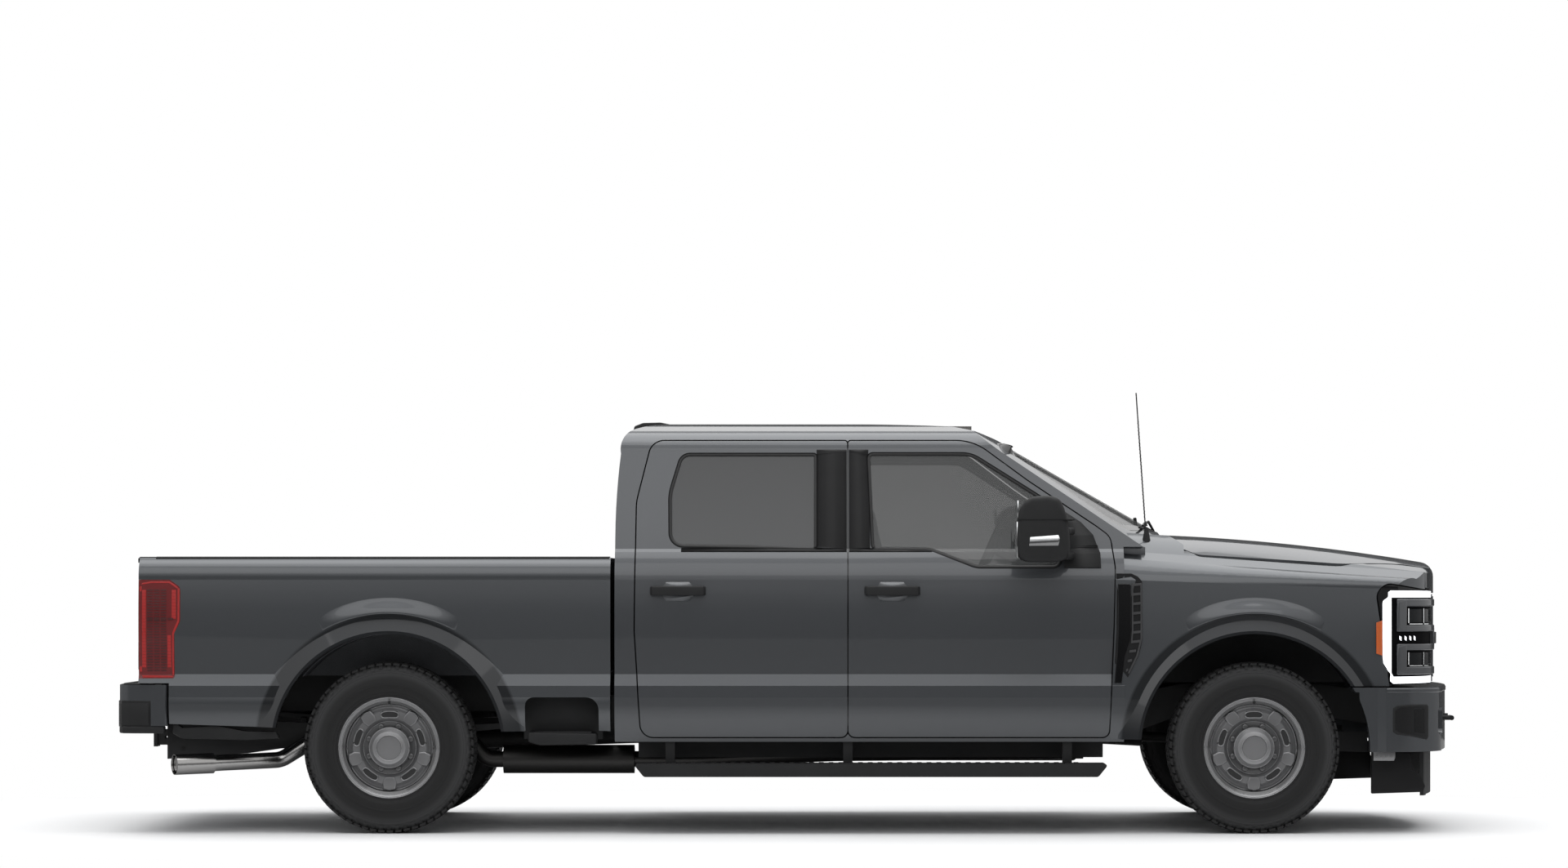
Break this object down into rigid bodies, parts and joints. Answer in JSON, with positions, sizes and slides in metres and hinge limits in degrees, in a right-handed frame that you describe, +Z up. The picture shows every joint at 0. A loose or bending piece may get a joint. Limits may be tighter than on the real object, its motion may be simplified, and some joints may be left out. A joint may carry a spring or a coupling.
{
  "type": "pickup truck",
  "caption": "Full-size crew cab pickup truck with a long nose, open load bed, opening doors, hood and tailgate, steered front wheels and single rear wheels.",
  "frame": {"origin": "on the ground at the middle of the truck's length and width", "axes": "+X forward along the truck, +Y to the truck's left, +Z up"},
  "size_m": [6.35, 2.692, 2.0752],
  "materials": {
    "body_paint": "dark grey metallic clearcoat",
    "glass_clear": "lightly tinted front glass",
    "glass_dark": "privacy tinted glass",
    "black_plastic": "grained black plastic",
    "grille_finish": "dark grey painted grille",
    "lamp_clear": "clear lamp lens",
    "lamp_red": "ribbed red lens",
    "lamp_amber": "amber lens",
    "tyre": "black tyre rubber",
    "wheel_silver": "silver grey painted steel",
    "frame_steel": "black painted chassis steel",
    "driveline_steel": "bare and painted running gear",
    "exhaust_steel": "stainless exhaust steel",
    "interior_plastic": "dark interior trim",
    "seat_cloth": "dark seat cloth",
    "bed_finish": "dark grey bed paint"
  },
  "bodies": {
    "chassis": {"cab_shell": "body_paint", "windshield": "glass_clear", "rear_window": "glass_dark", "fenders": "body_paint", "cowl": "black_plastic", "grille": "grille_finish", "headlamps": "lamp_clear", "front_bumper": "body_paint", "air_dam": "black_plastic", "bed_sides": "body_paint", "tail_lamps": "lamp_red", "bed_box": "bed_finish", "rear_bumper": "body_paint", "hitch_receiver": "frame_steel", "frame": "frame_steel", "rear_axle": "driveline_steel", "front_axle": "driveline_steel", "suspension": "frame_steel", "engine_block": "driveline_steel", "driveline": "driveline_steel", "fuel_tank": "black_plastic", "exhaust": "exhaust_steel", "wheel_liners": "black_plastic", "radiator": "black_plastic", "dashboard": "interior_plastic", "seats": "seat_cloth", "running_boards": "black_plastic", "antenna": "black_plastic", "roof_lamps": "lamp_amber"},
    "hood_lid": {"hood": "body_paint"},
    "tailgate_panel": {"tailgate": "body_paint"},
    "front_left_door": {"door_front_left": "body_paint", "glass_front_left": "glass_clear", "mirror_left": "black_plastic"},
    "front_right_door": {"door_front_right": "body_paint", "glass_front_right": "glass_clear", "mirror_right": "black_plastic"},
    "rear_left_door": {"door_rear_left": "body_paint", "glass_rear_left": "glass_dark"},
    "rear_right_door": {"door_rear_right": "body_paint", "glass_rear_right": "glass_dark"},
    "left_knuckle": {"knuckle_left": "driveline_steel"},
    "right_knuckle": {"knuckle_right": "driveline_steel"},
    "front_left_wheel": {"tyre_front_left": "tyre", "rim_front_left": "wheel_silver"},
    "front_right_wheel": {"tyre_front_right": "tyre", "rim_front_right": "wheel_silver"},
    "rear_left_wheel": {"tyre_rear_left": "tyre", "rim_rear_left": "wheel_silver"},
    "rear_right_wheel": {"tyre_rear_right": "tyre", "rim_rear_right": "wheel_silver"},
    "steering": {"steering_wheel": "interior_plastic"}
  },
  "joints": [
    {"name": "steer_left", "type": "hinge", "parent": "chassis", "child": "left_knuckle", "pos_m": [2.17, 0.79, 0.402], "axis": [0, 0, 1], "range_deg": [-32, 32]},
    {"name": "steer_right", "type": "hinge", "parent": "chassis", "child": "right_knuckle", "pos_m": [2.17, -0.79, 0.402], "axis": [0, 0, 1], "range_deg": [-32, 32]},
    {"name": "spin_front_left", "type": "hinge", "parent": "left_knuckle", "child": "front_left_wheel", "pos_m": [2.17, 0.8675, 0.402], "axis": [0, 1, 0], "continuous": true},
    {"name": "spin_front_right", "type": "hinge", "parent": "right_knuckle", "child": "front_right_wheel", "pos_m": [2.17, -0.8675, 0.402], "axis": [0, 1, 0], "continuous": true},
    {"name": "spin_rear_left", "type": "hinge", "parent": "chassis", "child": "rear_left_wheel", "pos_m": [-1.889, 0.8535, 0.402], "axis": [0, 1, 0], "continuous": true},
    {"name": "spin_rear_right", "type": "hinge", "parent": "chassis", "child": "rear_right_wheel", "pos_m": [-1.889, -0.8535, 0.402], "axis": [0, 1, 0], "continuous": true},
    {"name": "steering_turn", "type": "hinge", "parent": "chassis", "child": "steering", "pos_m": [0.985, 0.38, 1.351], "axis": [-0.9135, 0, 0.4067], "range_deg": [-540, 540]},
    {"name": "door_front_left_swing", "type": "hinge", "parent": "chassis", "child": "front_left_door", "pos_m": [1.481, 0.9791, 0.9], "axis": [0, 0.0371, -0.9993], "range_deg": [0, 65]},
    {"name": "door_rear_left_swing", "type": "hinge", "parent": "chassis", "child": "rear_left_door", "pos_m": [0.237, 0.9791, 0.9], "axis": [0, 0.0371, -0.9993], "range_deg": [0, 65]},
    {"name": "door_front_right_swing", "type": "hinge", "parent": "chassis", "child": "front_right_door", "pos_m": [1.481, -0.9791, 0.9], "axis": [0, 0.0371, 0.9993], "range_deg": [0, 65]},
    {"name": "door_rear_right_swing", "type": "hinge", "parent": "chassis", "child": "rear_right_door", "pos_m": [0.237, -0.9791, 0.9], "axis": [0, 0.0371, 0.9993], "range_deg": [0, 65]},
    {"name": "hood_lift", "type": "hinge", "parent": "chassis", "child": "hood_lid", "pos_m": [1.802, 0, 1.394], "axis": [0, -1, 0], "range_deg": [0, 50]},
    {"name": "tailgate_drop", "type": "hinge", "parent": "chassis", "child": "tailgate_panel", "pos_m": [-3.025, 0, 0.742], "axis": [0, -1, 0], "range_deg": [0, 90]}
  ],
  "couplings": [
    {"joint": "steer_right", "follows": "steer_left", "ratio": 1},
    {"joint": "steering_turn", "follows": "steer_left", "ratio": 16}
  ]
}
